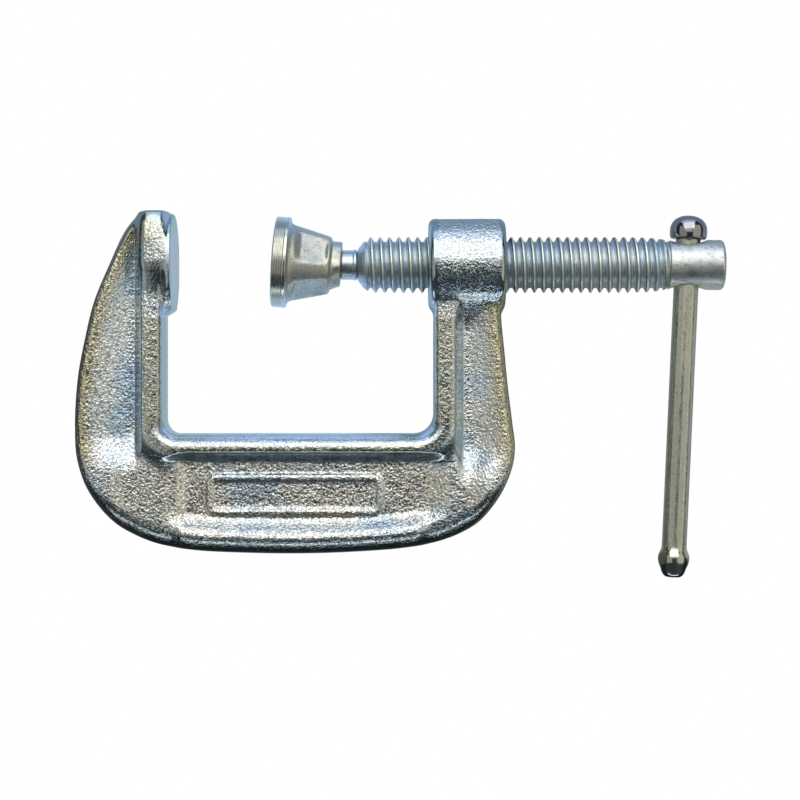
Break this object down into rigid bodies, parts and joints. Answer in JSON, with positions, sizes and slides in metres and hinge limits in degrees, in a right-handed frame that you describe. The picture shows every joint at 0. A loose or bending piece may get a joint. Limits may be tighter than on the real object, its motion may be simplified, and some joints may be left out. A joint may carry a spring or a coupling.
{
  "type": "c clamp",
  "caption": "Small zinc-plated C clamp with a cast, ribbed C frame, a tapped boss, a 3/8-16 screw with a sliding T bar, and a ball-jointed swivel pad.",
  "frame": {"origin": "centre of the fixed anvil's face, on the screw axis", "axes": "+X along the screw from the anvil to the handle, +Z through the thickness of the frame, the throat opens towards -Y"},
  "size_m": [0.1097, 0.0619, 0.0156],
  "materials": {
    "cast_zinc": "satin",
    "screw_zinc": "gloss",
    "pad_zinc": "satin",
    "bar_zinc": "satin"
  },
  "bodies": {
    "frame": {"c_frame": "cast_zinc"},
    "tip": {"ball_tip": "screw_zinc"},
    "screw": {"clamp_screw": "screw_zinc"},
    "handle": {"sliding_bar": "bar_zinc"},
    "pad": {"swivel_pad": "pad_zinc"}
  },
  "joints": [
    {"name": "screw_travel", "type": "slide", "parent": "frame", "child": "tip", "axis": [-1, 0, 0], "range_m": [-0.0139, 0.0155]},
    {"name": "screw_turn", "type": "hinge", "parent": "tip", "child": "screw", "pos_m": [0.031, 0, 0], "axis": [-1, 0, 0], "range_deg": [-3150, 3510]},
    {"name": "bar_slide", "type": "slide", "parent": "screw", "child": "handle", "axis": [0.0457, 0.999, 0], "range_m": [0, 0.0445]},
    {"name": "pad_tilt", "type": "hinge", "parent": "tip", "child": "pad", "pos_m": [0.025, 0, 0], "axis": [0, 0, 1], "range_deg": [-3, 11]}
  ],
  "couplings": [
    {"joint": "screw_travel", "follows": "screw_turn", "m_per_rad": 0.00025266}
  ]
}
